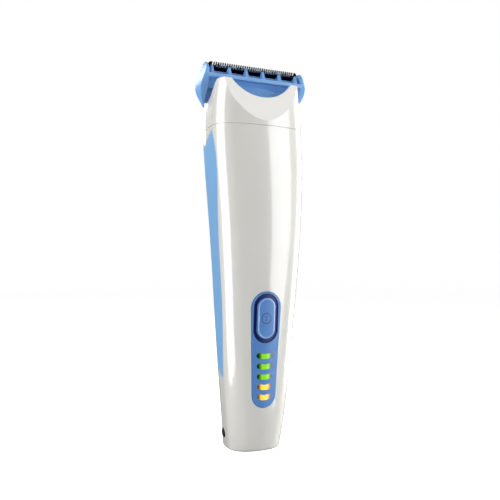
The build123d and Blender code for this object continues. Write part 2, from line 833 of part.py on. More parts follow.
with BuildPart() as deck_hollow:
    add(collar_hollow.part)
    add(rim_prism(rim_deck_thickness), mode=Mode.SUBTRACT)

with BuildPart() as neck_opening:
    add(collar_hollow.part)
    add(block(-reach, reach, -reach, deck_opening_rear, seam_height, collar_top), mode=Mode.INTERSECT)

with BuildPart() as neck_collar:
    add(band(outer_form, seam_height, collar_top))
    add(parting_line.part, mode=Mode.SUBTRACT)
    add(deck_hollow.part, mode=Mode.SUBTRACT)
    add(neck_opening.part, mode=Mode.SUBTRACT)
    for side in (-1, 1):
        low, high = sorted((side * pivot_boss_inner, side * (pivot_pin_outer + running_gap)))
        add(side_tube(pivot_boss_radius, low, high, drive_depth, pivot_z))
    add(rim_prism(0), mode=Mode.SUBTRACT)
    add(scoop_facet(0), mode=Mode.SUBTRACT)
    with BuildSketch(Plane.XZ):
        with Locations((0, seam_height + scoop_depth + scoop_radius)):
            Circle(scoop_radius)
    extrude(amount=reach, mode=Mode.SUBTRACT)
    add(band(gasket_form, seam_height - collar_spigot, seam_height))
    add(band(spigot_form, seam_height - collar_spigot, collar_gasket_low))
    add(band(spigot_form, collar_gasket_high, seam_height))
    throat = band(spigot_inner_form, seam_height - collar_spigot, seam_height + rim_deck_thickness)
    add(throat, mode=Mode.SUBTRACT)
    for side in (-1, 1):
        low, high = sorted((side * pivot_pin_inner, side * pivot_pin_outer))
        add(side_tube(pivot_pin_radius, low, high, drive_depth, pivot_z), mode=Mode.SUBTRACT)
        low, high = sorted((side * (neck_half_width - dimple_sunk), side * reach))
        dimple = side_tube(dimple_radius, low, high, dimple_depth_place, seam_height + dimple_above_seam)
        add(dimple, mode=Mode.SUBTRACT)
neck_collar.part.label = "neck_collar"

with BuildPart() as collar_gasket:
    add(band(cavity_form, collar_gasket_low, collar_gasket_high))
    add(band(gasket_form, collar_gasket_low, collar_gasket_high), mode=Mode.SUBTRACT)
collar_gasket.part.label = "collar_gasket"

# ---- Head frame, its pins and return springs ---------------------------------
platform_top = pivot_z + platform_low + platform_thickness
with BuildPart() as head_frame:
    add(block(-arm_outer, arm_outer, drive_depth - platform_front, drive_depth + platform_rear,
              pivot_z + platform_low, platform_top))
    add(block(-platform_window_half_width, platform_window_half_width,
              drive_depth - platform_window_half_depth, drive_depth + platform_window_half_depth,
              pivot_z, platform_top), mode=Mode.SUBTRACT)
    for side in (-1, 1):
        low, high = sorted((side * arm_inner, side * arm_outer))
        add(side_tube(arm_radius, low, high, drive_depth, pivot_z))
        add(block(low, high, drive_depth - arm_radius, drive_depth + arm_radius, pivot_z, platform_top))
        add(side_tube(pivot_pin_radius + running_gap, low, high, drive_depth, pivot_z), mode=Mode.SUBTRACT)
        with Locations((side * post_spacing, drive_depth, platform_top)):
            Box(post_width, post_depth, post_height, align=standing)
head_frame.part.label = "head_frame"

head_pins = []
head_springs = []
for name, side in (("left", -1), ("right", 1)):
    low, high = sorted((side * pivot_pin_inner, side * pivot_pin_outer))
    with BuildPart() as pivot_pin:
        add(side_tube(pivot_pin_radius, low, high, drive_depth, pivot_z))
    pivot_pin.part.label = f"pivot_pin_{name}"
    head_pins.append(pivot_pin.part)
    coil_start = side * (arm_inner - running_gap - spring_wire_radius) - (spring_length if side > 0 else 0)
    coil_radius = pivot_pin_radius + spring_wire_radius
    with BuildPart() as head_spring:
        with BuildLine():
            coil_place = (coil_start, drive_depth, pivot_z)
            coil = Helix(spring_pitch, spring_length, coil_radius, coil_place, (1, 0, 0))
        with BuildSketch(Plane(origin=coil @ 0, z_dir=coil % 0)):
            Circle(spring_wire_radius)
        sweep(is_frenet=True)
    head_spring.part.label = f"head_spring_{name}"
    head_springs.append(head_spring.part)

# ---- Blade carrier -----------------------------------------------------------
def blade_block(x_low, x_high, along_low, along_high, below_low, below_high):
    """A block laid out along the blade and below its outer face."""
    with BuildPart() as piece:
        with BuildSketch(blade_plane(below_low)):
            with Locations(((x_low + x_high) / 2, (along_low + along_high) / 2)):
                Rectangle(x_high - x_low, along_high - along_low)
        extrude(amount=below_low - below_high)
    return piece.part


cutter_top = comb_thickness + cutter_gap
cutter_bottom = cutter_top + cutter_thickness
bed_depth = cutter_bottom + bed_gap
ledge_high = pivot_z + ledge_top
ledge_low = ledge_high - ledge_thickness
fence_low = carrier_low + root_overlap
fence_top = tip_z - fence_below_tips
lever_tip_z = lever_pivot_z + lever_upper_arm
driver_slot = driver_half_width + cutter_travel + driver_slot_gap

with BuildPart() as carrier_body:
    with BuildSketch(Plane.YZ):
        with BuildLine():
            tray_end = blade_point(bed_front, bed_depth)
            tray_middle = (
                (tray_front + tray_end[0]) / 2 + tray_bow[0],
                (ledge_high + tray_end[1]) / 2 + tray_bow[1],
            )
            ThreePointArc((tray_front, ledge_high), tray_middle, tray_end)
            Polyline(
                tray_end,
                blade_point(bed_step, bed_depth),
                blade_point(bed_step, comb_thickness),
                blade_point(comb_length + fit_gap, comb_thickness),
                blade_point(comb_length + fit_gap, 0),
                blade_point(bed_end, 0),
                (carrier_rear, tip_z - carrier_back_drop),
                (carrier_rear, carrier_low),
                (ledge_front + carrier_front_offset, carrier_low),
                (ledge_front + ledge_back_offset, ledge_low),
                (ledge_front, ledge_low),
                (ledge_front, ledge_high),
                (tray_front, ledge_high),
            )
        make_face()
    extrude(amount=fence_inner, both=True)


def apron_section(plane):
    """Bowed strip that is turned about the head pivot to make the apron."""
    half = apron_half_width
    inner_edge = apron_edge_radius - apron_wall
    inner_middle = apron_radius - apron_wall
    with BuildSketch(plane) as strip:
        with BuildLine():
            outer = ThreePointArc((-half, apron_edge_radius), (0, apron_radius), (half, apron_edge_radius))
            inner = ThreePointArc((-half, inner_edge), (0, inner_middle), (half, inner_edge))
            Line(outer @ 0, inner @ 0)
            Line(outer @ 1, inner @ 1)
        make_face()
    return strip.sketch


rear = math.radians(apron_rear_angle)
apron_origin = (0, drive_depth, pivot_z)
apron_plane = Plane(origin=apron_origin, x_dir=(1, 0, 0), z_dir=(0, -math.cos(rear), math.sin(rear)))
with BuildPart() as apron:
    revolve(apron_section(apron_plane), Axis(apron_origin, (1, 0, 0)), apron_rear_angle + apron_front_angle)


def side_prism(sketch):
    """Extrudes a sketch on the YZ plane through the whole width."""
    with BuildPart() as prism:
        extrude(sketch, amount=reach, both=True)
    return prism.part


def ear_side_outline():
    """Side view of the fence and its ear."""
    with BuildSketch(Plane.YZ) as outline:
        with BuildLine():
            front = Spline(*[(y, pivot_z + z) for y, z in ear_front_edge])
            rear_edge = Spline(*[(y, pivot_z + z) for y, z in ear_rear_edge])
            top = Spline(*[(y, pivot_z + z) for y, z in fence_edge])
            Line(front @ 1, top @ 0)
            Line(front @ 0, rear_edge @ 0)
        make_face()
    return outline.sketch


def ear_piece(side):
    """Fence beside the blade and the ear that hangs outside the collar."""
    with BuildPart() as ear:
        with BuildSketch(Plane.XZ):
            with BuildLine():
                outer = Spline(*[(side * (comb_half_width + x), pivot_z + z) for x, z in ear_outer_edge])
                Polyline(
                    outer @ 0,
                    (side * ear_inner, pivot_z + ear_outer_edge[0][1]),
                    (side * ear_inner, fence_low),
                    (side * fence_inner, fence_low),
                    (side * fence_inner, fence_top),
                    outer @ 1,
                )
            make_face()
        extrude(amount=reach, both=True)
        add(side_prism(ear_side_outline()), mode=Mode.INTERSECT)
    return ear.part


def rib_side(top):
    """Side view of a rib, from the ledge up to the cutter."""
    back_along = (tip_z - top) / math.cos(math.radians(blade_tilt)) - bed_depth
    ledge_middle = ledge_high - ledge_thickness / 2
    return side_profile((
        (tray_front, ledge_middle),
        (tray_front, ledge_high),
        (rib_top_front, top),
        blade_point(back_along, bed_depth),
        blade_point(bed_front, bed_depth),
        (tray_end[0], ledge_middle),
    ), reach)


def rib(place):
    """Upright rib between the ledge and the blade, thinner towards its top."""
    top = pivot_z + rib_top
    low_half = rib_low_width / 2
    high_half = rib_high_width / 2
    with BuildPart() as piece:
        with BuildSketch(Plane.XZ):
            with BuildLine():
                Polyline(
                    (place - low_half, ledge_low), (place + low_half, ledge_low),
                    (place + high_half, top), (place - high_half, top),
                    close=True,
                )
            make_face()
        extrude(amount=reach, both=True)
        add(rib_side(top), mode=Mode.INTERSECT)
    return piece.part


def cheek(side):
    """Web under the ledge that joins an ear to the carrier."""
    low, high = sorted((side * cheek_inner, side * (ear_inner + panel_gap)))
    with BuildPart() as web:
        with BuildSketch(Plane.YZ.offset(low)):
            with BuildLine():
                ThreePointArc((cheek_front, ledge_low), (cheek_middle_depth, pivot_z + cheek_middle),
                              (cheek_low_depth, pivot_z + cheek_low))
                Polyline(
                    (cheek_low_depth, pivot_z + cheek_low),
                    (carrier_rear - root_overlap, pivot_z + cheek_low),
                    (carrier_rear, carrier_low + root_overlap),
                    (carrier_rear, ledge_low - root_overlap),
                    (cheek_front, ledge_low),
                )
            make_face()
        extrude(amount=high - low)
    return web.part


with BuildPart() as blade_carrier:
    add(carrier_body.part)
    add(apron.part)
    add(side_profile((
        (carrier_rear, carrier_low + root_overlap),
        (skirt_rear, pivot_z + skirt_bend),
        (skirt_rear, pivot_z + skirt_low),
        (skirt_rear - skirt_wall, pivot_z + skirt_low),
        (skirt_rear - skirt_wall, pivot_z + skirt_bend),
        (carrier_rear - skirt_wall, carrier_low),
    ), skirt_half_width))
    for side in (-1, 1):
        add(ear_piece(side))
        add(cheek(side))
        socket_half_width = post_width / 2 + post_wall
        with Locations((side * post_spacing, drive_depth, platform_top)):
            Box(2 * socket_half_width, post_depth + 2 * post_wall, carrier_low - platform_top + root_overlap,
                align=standing)
        with Locations((side * post_spacing, drive_depth, platform_top)):
            Box(post_width + 2 * fit_gap, post_depth + 2 * fit_gap, post_height + 2 * fit_gap,
                align=standing, mode=Mode.SUBTRACT)
        for place in rib_places:
            add(rib(side * place))
        finger_low, finger_high = sorted((side * finger_inner, side * finger_outer))
        pocket = blade_block(finger_low - fit_gap, finger_high + fit_gap,
                             finger_front - fit_gap, finger_back + fit_gap, cutter_bottom, finger_floor)
        add(pocket, mode=Mode.SUBTRACT)
        rivet_hole = Plane(origin=(side * rivet_place, *blade_point(rivet_along, -rivet_proud)),
                           x_dir=(1, 0, 0), z_dir=blade_plane(0).z_dir)
        with BuildSketch(rivet_hole):
            Circle(rivet_radius)
        extrude(amount=-rivet_length, mode=Mode.SUBTRACT)
    slot_front = driver_front_depth - driver_slot_gap
    slot_step = driver_back_depth + 2 * driver_slot_gap
    add(block(-driver_slot, driver_slot, slot_front, slot_step, pivot_z, tip_z), mode=Mode.SUBTRACT)
    add(block(-driver_slot, driver_slot, slot_step, drive_depth + fork_half_depth + 2 * driver_slot_gap,
              pivot_z, driver_shoulder + driver_slot_gap), mode=Mode.SUBTRACT)
blade_carrier.part.label = "blade_carrier"

# ---- Comb and cutter ---------------------------------------------------------
with BuildPart() as comb_blade:
    with BuildSketch(blade_plane(0)) as comb_outline:
        plate_length = comb_length - tooth_length
        with Locations((0, tooth_length + plate_length / 2)):
            Rectangle(2 * comb_half_width, plate_length)
        with Locations((0, tooth_length / 2 + comb_thickness / 2)):
            with GridLocations(tooth_pitch, tooth_length, tooth_count, 1):
                Rectangle(tooth_width, tooth_length + comb_thickness)
        for side in (-1, 1):
            with Locations((side * (comb_half_width - end_tooth_width / 2), end_tooth_length / 2)):
                Rectangle(end_tooth_width, end_tooth_length)
        corners = comb_outline.vertices().group_by(Axis.Y)[0].sort_by(Axis.X)
        fillet([corners[0], corners[-1]], end_tooth_radius)
    extrude(amount=-comb_thickness)
    with BuildSketch(blade_plane(0)):
        with Locations((rivet_place, rivet_along), (-rivet_place, rivet_along)):
            Circle(rivet_radius)
    extrude(amount=-comb_thickness, mode=Mode.SUBTRACT)
comb_blade.part.label = "comb_blade"

with BuildPart() as cutter_blade:
    with BuildSketch(blade_plane(cutter_top)):
        plate_start = cutter_set_back + cutter_tooth_length
        with Locations((0, plate_start + (cutter_back - plate_start) / 2)):
            Rectangle(2 * cutter_half_width, cutter_back - plate_start)
        with Locations((0, cutter_set_back + cutter_tooth_length / 2 + cutter_thickness / 2)):
            with GridLocations(cutter_tooth_pitch, cutter_tooth_length, cutter_tooth_count, 1):
                Rectangle(cutter_tooth_width, cutter_tooth_length + cutter_thickness)
    extrude(amount=-cutter_thickness)
cutter_blade.part.label = "cutter_blade"

with BuildPart() as cutter_driver:
    add(side_profile((
        blade_point(driver_along_low, cutter_bottom),
        blade_point(driver_along_high, cutter_bottom),
        (driver_back_depth, driver_shoulder),
        (drive_depth + fork_half_depth, driver_shoulder),
        (drive_depth + fork_half_depth, lever_tip_z - lever_ball_radius),
        (drive_depth - fork_half_depth, lever_tip_z - lever_ball_radius),
        (drive_depth - fork_half_depth, driver_shoulder),
        (driver_front_depth, driver_shoulder + fork_gap),
    ), driver_half_width))
    fork = lever_ball_radius + fork_gap
    add(block(-fork, fork, -reach, reach, pivot_z, lever_tip_z + 2 * lever_ball_radius), mode=Mode.SUBTRACT)
cutter_driver.part.label = "cutter_driver"

cutter_springs = []
comb_rivets = []
for name, side in (("left", -1), ("right", 1)):
    low, high = sorted((side * finger_inner, side * finger_outer))
    middle = (low + high) / 2
    with BuildPart() as cutter_spring:
        add(blade_block(low, high, finger_front, finger_back, finger_floor - finger_thickness, finger_floor))
        add(blade_block(middle - finger_thickness, middle + finger_thickness, finger_front, finger_back,
                        cutter_bottom + cutter_gap, finger_floor))
    cutter_spring.part.label = f"cutter_spring_{name}"
    cutter_springs.append(cutter_spring.part)
    head = Plane(origin=(side * rivet_place, *blade_point(rivet_along, -rivet_proud)),
                 x_dir=(1, 0, 0), z_dir=blade_plane(0).z_dir)
    with BuildPart() as comb_rivet:
        with BuildSketch(head):
            Circle(rivet_radius)
        extrude(amount=-rivet_length)
    comb_rivet.part.label = f"comb_rivet_{name}"
    comb_rivets.append(comb_rivet.part)

# ---- Write every piece -------------------------------------------------------
single_parts = (
    main_housing, rear_grip, control_panel, power_button, button_seal, bottom_cap, bottom_cap_gasket,
    chassis_frame, battery_cell, circuit_board, tact_switch, motor_can, motor_end_cap, motor_armature,
    motor_shaft, eccentric_cam, motor_mount, drive_lever, lever_pivot_pin, drive_boot, neck_collar,
    collar_gasket, head_frame, blade_carrier, comb_blade, cutter_blade, cutter_driver,
)
repeated_parts = (
    led_lenses + led_chips + cap_screws + contact_parts + battery_tabs + motor_screws
    + head_pins + head_springs + cutter_springs + comb_rivets
)
os.makedirs("parts", exist_ok=True)
for piece in [single.part for single in single_parts] + repeated_parts:
    export_step(piece, f"parts/{piece.label}.step")
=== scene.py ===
import math

import bmesh
import bpy
from mathutils import Matrix, Vector


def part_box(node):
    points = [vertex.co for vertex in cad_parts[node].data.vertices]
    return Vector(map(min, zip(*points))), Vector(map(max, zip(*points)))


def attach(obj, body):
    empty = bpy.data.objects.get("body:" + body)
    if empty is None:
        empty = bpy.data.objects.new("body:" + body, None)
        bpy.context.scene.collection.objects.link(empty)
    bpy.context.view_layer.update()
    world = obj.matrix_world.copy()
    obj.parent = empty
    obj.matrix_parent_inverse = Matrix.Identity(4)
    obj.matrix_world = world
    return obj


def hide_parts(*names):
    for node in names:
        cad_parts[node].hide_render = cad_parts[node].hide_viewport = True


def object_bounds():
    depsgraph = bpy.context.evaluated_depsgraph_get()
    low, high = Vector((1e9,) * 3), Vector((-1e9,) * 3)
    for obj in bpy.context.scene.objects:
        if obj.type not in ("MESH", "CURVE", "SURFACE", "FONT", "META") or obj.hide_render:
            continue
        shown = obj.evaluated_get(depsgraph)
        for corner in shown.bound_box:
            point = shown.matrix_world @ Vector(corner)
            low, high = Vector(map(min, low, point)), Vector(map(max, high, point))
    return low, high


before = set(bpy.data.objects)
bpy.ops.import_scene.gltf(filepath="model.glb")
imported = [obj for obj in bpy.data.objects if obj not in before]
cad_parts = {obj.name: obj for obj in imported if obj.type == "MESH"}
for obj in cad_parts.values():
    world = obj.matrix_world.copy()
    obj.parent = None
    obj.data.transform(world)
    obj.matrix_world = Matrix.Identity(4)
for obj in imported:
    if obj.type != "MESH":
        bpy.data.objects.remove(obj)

bl_info = {
    "name": "Body Groomer Finish",
    "version": (1, 0, 0),
    "blender": (4, 5, 0),
    "location": "3D View > Sidebar > Groomer",
    "description": "Finishes, trim pieces and a studio stage for a cordless body groomer",
    "category": "Object",
}

MM = 0.001
FAR = 0.2                          # rays towards the groomer start this far out
CAD_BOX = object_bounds()
OBJECT_HEIGHT = CAD_BOX[1][2] - CAD_BOX[0][2]
MIDDLE = (0.0, 0.0, 0.09)          # the lights aim here
BEAD_SIDES = 12
BEAD_CAP_ANGLES = (88, 66, 44, 22)  # sections that round off an open bead's end
LENS_CLEAR_HALF_WIDTH = 1.0 * MM   # a charge light is fully lit this far from its middle
# The painted shade at a charge light's ends is full from this far out.
LENS_DARK_HALF_WIDTH = 3.1 * MM
GROUND_TIP_LENGTH = 1.0 * MM       # bright length of a cutter tooth
GROUND_TIP_FADE = 0.4 * MM
FILL_STRENGTH = 0.06               # light from all round
BACKDROP_STRENGTH = 1.0            # how bright the backdrop looks
PAPER_GLOW = 0.95                  # how bright the paper floor looks


# ---- Colours and node helpers --------------------------------------------------
def linear(hex_code):
    """sRGB hex code as linear red, green, blue and full alpha."""
    channels = [int(hex_code[i:i + 2], 16) / 255 for i in (0, 2, 4)]
    return tuple(c / 12.92 if c <= 0.04045 else ((c + 0.055) / 1.055) ** 2.4 for c in channels) + (1.0,)


def add_node(tree, kind, links=(), **settings):
    """Adds one node, sets its properties and input values, and links its inputs."""
    node = tree.nodes.new(kind)
    for key, value in settings.items():
        if hasattr(node, key):
            setattr(node, key, value)
        else:
            node.inputs[key.replace("_", " ")].default_value = value
    for socket, source in links:
        tree.links.new(source, node.inputs[socket])
    return node


def new_material(name, **sockets):
    """A material with a Principled shader whose constant values are set on its own sockets."""
    material = bpy.data.materials.new(name)
    material.use_nodes = True
    shader = material.node_tree.nodes["Principled BSDF"]
    for key, value in sockets.items():
        shader.inputs[key.replace("_", " ")].default_value = value
    return material, material.node_tree, shader


def grain(tree, size_mm, detail=2.0):
    """Fine noise whose features are size_mm wide, in the object's own metres."""
    place = add_node(tree, "ShaderNodeTexCoord")
    return add_node(tree, "ShaderNodeTexNoise", [("Vector", place.outputs["Object"])],
                    Scale=1 / (size_mm * MM), Detail=detail, Roughness=0.55)


def link_bump(tree, shader, height, depth_mm, strength=1.0):
    """Sends a height through a bump node into the shader's normal."""
    bump = add_node(tree, "ShaderNodeBump", [("Height", height)], Strength=strength, Distance=depth_mm * MM)
    tree.links.new(bump.outputs["Normal"], shader.inputs["Normal"])


def spread(tree, value, low, high):
    """Maps a nought-to-one value onto low to high."""
    return add_node(tree, "ShaderNodeMapRange", [("Value", value)], To_Min=low, To_Max=high).outputs["Result"]


# ---- Materials -----------------------------------------------------------------
def moulded_abs(name, colour, roughness=0.2, texture_mm=6.0, texture_depth=0.004, coat=1.0):
    """Glossy ABS moulded in a polished tool: clean highlights with a faint long ripple."""
    material, tree, shader = new_material(
        name, Base_Color=linear(colour), IOR=1.53, Coat_Weight=coat, Coat_Roughness=0.06)
    ripple = grain(tree, texture_mm, 1.0)
    tree.links.new(spread(tree, ripple.outputs["Fac"], roughness * 0.85, roughness * 1.15),
                   shader.inputs["Roughness"])
    link_bump(tree, shader, ripple.outputs["Fac"], texture_depth)
    return material


def satin_polypropylene(name, colour, deep_colour, roughness=0.3):
    """Polypropylene moulded in a fine satin tool: slightly waxy, lighter where it is thin."""
    material, tree, shader = new_material(
        name, IOR=1.49, Subsurface_Weight=0.12, Subsurface_Scale=0.6 * MM, Coat_Weight=0.15,
        Coat_Roughness=0.15)
    cloud = grain(tree, 4.0, 2.0)
    colour_mix = add_node(tree, "ShaderNodeMix", [("Factor", spread(tree, cloud.outputs["Fac"], 0.0, 0.5))],
                          data_type="RGBA")
    colour_mix.inputs[6].default_value = linear(colour)
    colour_mix.inputs[7].default_value = linear(deep_colour)
    tree.links.new(colour_mix.outputs[2], shader.inputs["Base Color"])
    frost = grain(tree, 0.12, 2.0)
    tree.links.new(spread(tree, frost.outputs["Fac"], roughness * 0.8, roughness * 1.2),
                   shader.inputs["Roughness"])
    link_bump(tree, shader, frost.outputs["Fac"], 0.006)
    return material


def soft_touch_elastomer(name, colour, roughness=0.55):
    """Thermoplastic elastomer over-moulded in a spark-eroded tool: dull, with a fine even grain."""
    material, tree, shader = new_material(
        name, Base_Color=linear(colour), IOR=1.5, Sheen_Weight=0.12, Sheen_Roughness=0.4)
    pebble = grain(tree, 0.25, 3.0)
    tree.links.new(spread(tree, pebble.outputs["Fac"], roughness * 0.85, roughness * 1.15),
                   shader.inputs["Roughness"])
    link_bump(tree, shader, pebble.outputs["Fac"], 0.02)
    return material


def lit_lens(name, colour, recess_shade_colour, glow):
    """Tinted clear acrylic over a lit chip: it glows brightest in the middle, and its ends are painted dark
    as the shade of the recess they sit in.
    """
    material, tree, shader = new_material(name, IOR=1.49, Roughness=0.12, Coat_Weight=0.4,
                                          Coat_Roughness=0.05)
    place = add_node(tree, "ShaderNodeTexCoord")
    axes = add_node(tree, "ShaderNodeSeparateXYZ", [("Vector", place.outputs["Object"])])
    offset = add_node(tree, "ShaderNodeMath", [(0, axes.outputs["X"])], operation="ABSOLUTE")
    end_share = add_node(tree, "ShaderNodeMapRange", [("Value", offset.outputs[0])],
                         interpolation_type="SMOOTHSTEP",
                         From_Min=LENS_CLEAR_HALF_WIDTH, From_Max=LENS_DARK_HALF_WIDTH)
    # The ends take the painted shade colour, for the shade of the recess round each light; the glow fades
    # with the same share.
    tint = add_node(tree, "ShaderNodeMix", [("Factor", end_share.outputs["Result"])], data_type="RGBA")
    tint.inputs[6].default_value = linear(colour)
    tint.inputs[7].default_value = linear(recess_shade_colour)
    tree.links.new(tint.outputs[2], shader.inputs["Base Color"])
    tree.links.new(tint.outputs[2], shader.inputs["Emission Color"])
    tree.links.new(spread(tree, end_share.outputs["Result"], glow, 0.0), shader.inputs["Emission Strength"])
    return material


def brushed_metal(name, colour, roughness, line_mm, stretch=(1.0, 1.0, 1.0)):
    """Ground or drawn metal: fine parallel scratches that soften its reflections along one way."""
    material, tree, shader = new_material(name, Base_Color=linear(colour), Metallic=1.0)
    place = add_node(tree, "ShaderNodeTexCoord")
    spun = add_node(tree, "ShaderNodeMapping", [("Vector", place.outputs["Object"])])
    spun.inputs["Scale"].default_value = stretch
    lines = add_node(tree, "ShaderNodeTexNoise", [("Vector", spun.outputs["Vector"])],
                     Scale=1 / (line_mm * MM), Detail=2.0)
    tree.links.new(spread(tree, lines.outputs["Fac"], roughness * 0.7, roughness * 1.3),
                   shader.inputs["Roughness"])
    link_bump(tree, shader, lines.outputs["Fac"], 0.004)
    return material


def black_oxide_steel(name, colour):
    """Comb steel with a black oxide coat: dark, with a soft metallic shine on its edges."""
    material, tree, shader = new_material(name, Base_Color=linear(colour), Metallic=0.35)
    wear = grain(tree, 0.4, 3.0)
    tree.links.new(spread(tree, wear.outputs["Fac"], 0.28, 0.45), shader.inputs["Roughness"])
    link_bump(tree, shader, wear.outputs["Fac"], 0.003)
    return material


def ground_tip_steel(name, painted_shade_colour, tip_colour):
    """Cutter steel painted near black all over as the shade under the comb, with its tooth tips ground
    bright.
    """
    material, tree, shader = new_material(name, Metallic=1.0)
    low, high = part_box("cutter_blade")
    place = add_node(tree, "ShaderNodeTexCoord")
    along = add_node(tree, "ShaderNodeVectorMath", [(0, place.outputs["Object"])], operation="DOT_PRODUCT")
    along.inputs[1].default_value = (0.0, -math.sqrt(0.5), math.sqrt(0.5))
    tip = (high[2] - low[1]) * math.sqrt(0.5)
    bright = add_node(tree, "ShaderNodeMapRange", [("Value", along.outputs["Value"])],
                      From_Min=tip - GROUND_TIP_LENGTH - GROUND_TIP_FADE, From_Max=tip - GROUND_TIP_LENGTH)
    # Away from the tips the cutter takes the near-black colour, painted shade for the shade under the comb.
    tint = add_node(tree, "ShaderNodeMix", [("Factor", bright.outputs["Result"])], data_type="RGBA")
    tint.inputs[6].default_value = linear(painted_shade_colour)
    tint.inputs[7].default_value = linear(tip_colour)
    tree.links.new(tint.outputs[2], shader.inputs["Base Color"])
    lines = grain(tree, 0.12, 2.0)
    tree.links.new(spread(tree, lines.outputs["Fac"], 0.2, 0.4), shader.inputs["Roughness"])
    link_bump(tree, shader, lines.outputs["Fac"], 0.003)
    return material


def studio_paper(name, colour):
    """Background paper on a light table: matt, with a fine pulp grain, and bright to the eye."""
    material, tree, shader = new_material(name, Base_Color=linear(colour), Roughness=0.9,
                                          Specular_IOR_Level=0.1, Emission_Color=linear("FFFFFF"))
    pulp = grain(tree, 0.8, 3.0)
    link_bump(tree, shader, pulp.outputs["Fac"], 0.01)
    path = add_node(tree, "ShaderNodeLightPath")
    tree.links.new(spread(tree, path.outputs["Is Camera Ray"], 0.0, PAPER_GLOW),
                   shader.inputs["Emission Strength"])
    return material


def set_material(piece, material):
    """Gives every slot of a piece one material."""
    piece.data.materials.clear()
    piece.data.materials.append(material)


def finish_mesh(name, build, smooth=True):
    """Turns a bmesh into an object in the scene."""
    bmesh.ops.recalc_face_normals(build, faces=build.faces)
    mesh = bpy.data.meshes.new(name)
    build.to_mesh(mesh)
    build.free()
    for face in mesh.polygons:
        face.use_smooth = smooth
    piece = bpy.data.objects.new(name, mesh)
    bpy.context.scene.collection.objects.link(piece)
    return piece


def surface_point(node, facing, across, up):
    """Where a ray meets a CAD node: from the front (-Y) at x=across, or from a side at y=across."""
    if facing == "front":
        start, aim = Vector((across, -FAR, up)), Vector((0, 1, 0))
    else:
        side = -1 if facing == "left" else 1
        start, aim = Vector((side * FAR, across, up)), Vector((-side, 0, 0))
    hit, place, _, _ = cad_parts[node].ray_cast(start, aim)
    if not hit:
        raise RuntimeError(f"no surface of {node} at {across}, {up}")
    return place, -aim


def bead(name, node, facing, path, width, height, closed=True):
    """A rounded bead laid on a CAD node along a path of (across, up) points."""
    stops = []
    count = len(path)
    for k, point in enumerate(path):
        before = path[k - 1] if closed or k else point
        after = path[(k + 1) % count] if closed or k < count - 1 else point
        along = Vector((after[0] - before[0], after[1] - before[1])).normalized()
        stops.append((Vector(point), along, 1.0))
    if not closed:
        start, end = stops[0], stops[-1]
        caps = [math.radians(a) for a in BEAD_CAP_ANGLES]
        head = [(start[0] - start[1] * width / 2 * math.sin(a), start[1], math.cos(a)) for a in caps]
        tail = [(end[0] + end[1] * width / 2 * math.sin(a), end[1], math.cos(a)) for a in reversed(caps)]
        stops = head + stops + tail
    build = bmesh.new()
    rings = []
    for centre, along, scale in stops:
        across = Vector((-along.y, along.x))
        ring = []
        for k in range(BEAD_SIDES):
            turn = 2 * math.pi * k / BEAD_SIDES
            spot = centre + across * (width / 2 * scale * math.cos(turn))
            place, out = surface_point(node, facing, spot.x, spot.y)
            ring.append(build.verts.new(place + out * (height * scale * math.sin(turn))))
        rings.append(ring)
    pairs = list(zip(rings, rings[1:])) + ([(rings[-1], rings[0])] if closed else [])
    for first, second in pairs:
        for k in range(BEAD_SIDES):
            n = (k + 1) % BEAD_SIDES
            build.faces.new((first[k], first[n], second[n], second[k]))
    if not closed:
        build.faces.new(rings[0])
        build.faces.new(rings[-1])
    return finish_mesh(name, build)


def slot_path(half_width, half_length, centre, steps=16):
    """Upright slot outline with round ends, as (across, up) points."""
    straight = half_length - half_width
    arc = [math.pi * k / steps for k in range(steps + 1)]
    top = [(half_width * math.cos(a), centre + straight + half_width * math.sin(a)) for a in arc]
    bottom = [(-x, 2 * centre - z) for x, z in top]
    return top + bottom


def circle_path(radius, centre, steps=48):
    """Circle as (across, up) points about (0, centre)."""
    turns = [2 * math.pi * k / steps for k in range(steps)]
    return [(radius * math.cos(a), centre + radius * math.sin(a)) for a in turns]


def softened(node, name, voxel_mm, rounds, keep):
    """A copy of a CAD node whose sharp edges are rounded, as a moulded part's are."""
    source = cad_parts[node]
    piece = bpy.data.objects.new(name, source.data.copy())
    bpy.context.scene.collection.objects.link(piece)
    remesh = piece.modifiers.new("remesh", "REMESH")
    remesh.mode = "VOXEL"
    remesh.voxel_size = voxel_mm * MM
    remesh.use_smooth_shade = True
    smooth = piece.modifiers.new("smooth", "SMOOTH")
    smooth.factor = 0.5
    smooth.iterations = rounds
    thin = piece.modifiers.new("thin", "DECIMATE")
    thin.ratio = keep
    graph = bpy.context.evaluated_depsgraph_get()
    mesh = bpy.data.meshes.new_from_object(piece.evaluated_get(graph))
    piece.modifiers.clear()
    piece.data = mesh
    for face in mesh.polygons:
        face.use_smooth = True
    return piece


# ---- Settings ------------------------------------------------------------------
def colour_setting(name, description, default):
    """A colour property, as an sRGB hex code."""
    return bpy.props.StringProperty(name=name, description=description, default=default)


